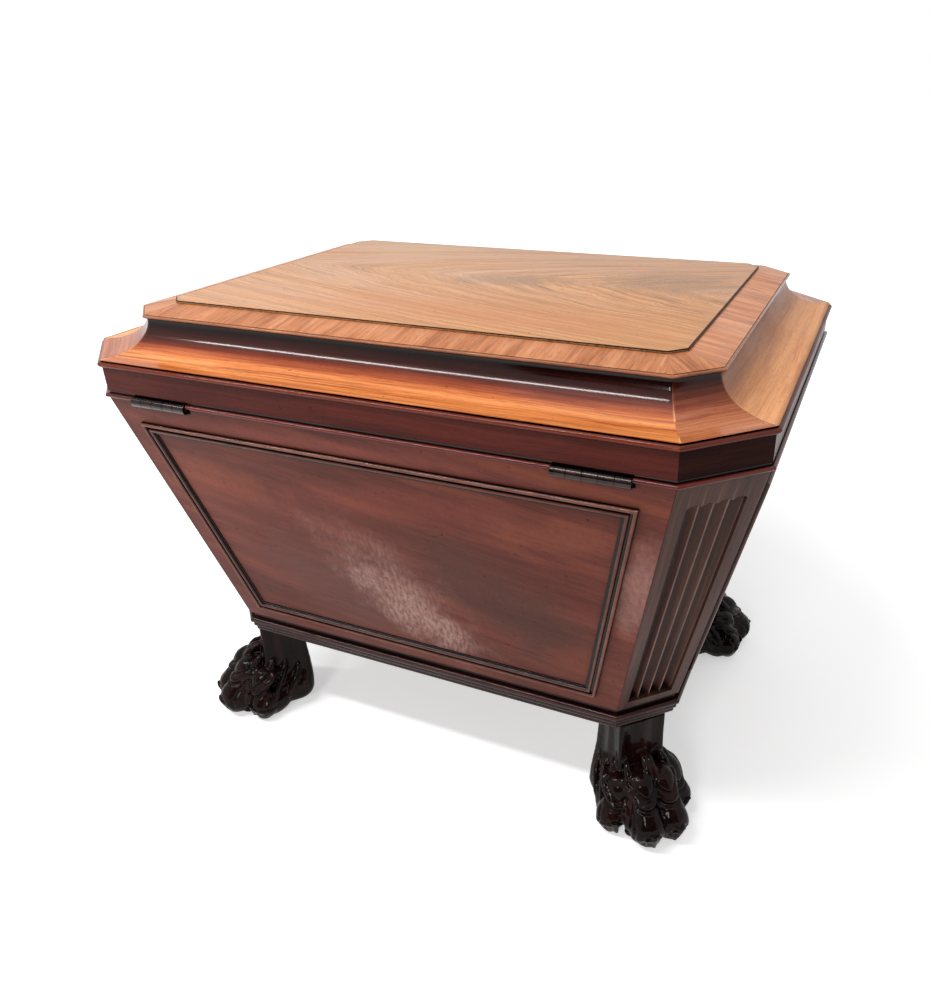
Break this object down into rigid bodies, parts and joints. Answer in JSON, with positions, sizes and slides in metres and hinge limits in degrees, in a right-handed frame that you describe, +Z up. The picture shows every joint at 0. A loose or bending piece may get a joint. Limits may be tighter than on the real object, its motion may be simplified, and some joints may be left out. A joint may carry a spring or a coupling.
{
  "type": "sarcophagus cellarette",
  "caption": "Tapered mahogany wine cellarette with fluted canted corners on four paw feet, under a hinged lid with a deep mitred cavetto, lined and divided for bottles",
  "frame": {"origin": "on the floor plane, midway between the four feet, under the middle of the lid", "axes": "X along the length of the case, +Y from the front towards the hinged rear, +Z up"},
  "size_m": [0.75, 0.571, 0.561],
  "materials": {
    "flame_mahogany": "French polished crotch veneer, reddish gold",
    "crossband_mahogany": "French polished, grain across the band",
    "ebony_line": "polished black stringing",
    "polished_mahogany": "French polished, warm red-brown",
    "dark_mahogany": "French polished, aged dark red-brown",
    "carved_mahogany": "carved and stained nearly black, glossy",
    "plain_mahogany": "plain sawn, lightly waxed",
    "aged_brass": "darkened brass, worn on the knuckles",
    "pale_steel": "satin",
    "dull_zinc": "dull rolled zinc sheet"
  },
  "bodies": {
    "carcase": {"case_wall_front": "dark_mahogany", "panel_moulding_front": "dark_mahogany", "case_wall_right": "dark_mahogany", "panel_moulding_right": "dark_mahogany", "case_wall_rear": "dark_mahogany", "panel_moulding_rear": "dark_mahogany", "case_wall_left": "dark_mahogany", "panel_moulding_left": "dark_mahogany", "fluted_corner_front_right": "dark_mahogany", "paw_foot_front_right": "carved_mahogany", "fluted_corner_rear_right": "dark_mahogany", "paw_foot_rear_right": "carved_mahogany", "fluted_corner_rear_left": "dark_mahogany", "paw_foot_rear_left": "carved_mahogany", "fluted_corner_front_left": "dark_mahogany", "paw_foot_front_left": "carved_mahogany", "base_board": "plain_mahogany", "base_frame": "dark_mahogany", "zinc_liner": "dull_zinc", "divider_long": "plain_mahogany", "divider_cross_1": "plain_mahogany", "divider_cross_2": "plain_mahogany", "divider_cross_3": "plain_mahogany", "lock_case": "aged_brass", "hinge_lower_leaf_left": "aged_brass", "hinge_pin_left": "pale_steel", "hinge_lower_leaf_right": "aged_brass", "hinge_pin_right": "pale_steel"},
    "lid": {"lid_top_board": "plain_mahogany", "lid_raised_field": "flame_mahogany", "lid_stringing": "ebony_line", "lid_bead": "polished_mahogany", "lid_crossband_front": "crossband_mahogany", "lid_cavetto_front": "polished_mahogany", "lid_frieze_front": "dark_mahogany", "lid_crossband_front_right": "crossband_mahogany", "lid_cavetto_front_right": "polished_mahogany", "lid_frieze_front_right": "dark_mahogany", "lid_crossband_right": "crossband_mahogany", "lid_cavetto_right": "polished_mahogany", "lid_frieze_right": "dark_mahogany", "lid_crossband_rear_right": "crossband_mahogany", "lid_cavetto_rear_right": "polished_mahogany", "lid_frieze_rear_right": "dark_mahogany", "lid_crossband_rear": "crossband_mahogany", "lid_cavetto_rear": "polished_mahogany", "lid_frieze_rear": "dark_mahogany", "lid_crossband_rear_left": "crossband_mahogany", "lid_cavetto_rear_left": "polished_mahogany", "lid_frieze_rear_left": "dark_mahogany", "lid_crossband_left": "crossband_mahogany", "lid_cavetto_left": "polished_mahogany", "lid_frieze_left": "dark_mahogany", "lid_crossband_front_left": "crossband_mahogany", "lid_cavetto_front_left": "polished_mahogany", "lid_frieze_front_left": "dark_mahogany", "lock_link_plate": "aged_brass", "hinge_upper_leaf_left": "aged_brass", "hinge_upper_leaf_right": "aged_brass"},
    "lock_bolt": {"lock_bolt": "pale_steel"}
  },
  "joints": [
    {"name": "lid_hinge", "type": "hinge", "parent": "carcase", "child": "lid", "pos_m": [0, 0.2815, 0.475], "axis": [-1, 0, 0], "range_deg": [0, 100]},
    {"name": "lock_bolt_slide", "type": "slide", "parent": "carcase", "child": "lock_bolt", "axis": [1, 0, 0], "range_m": [0, 0.006]}
  ]
}
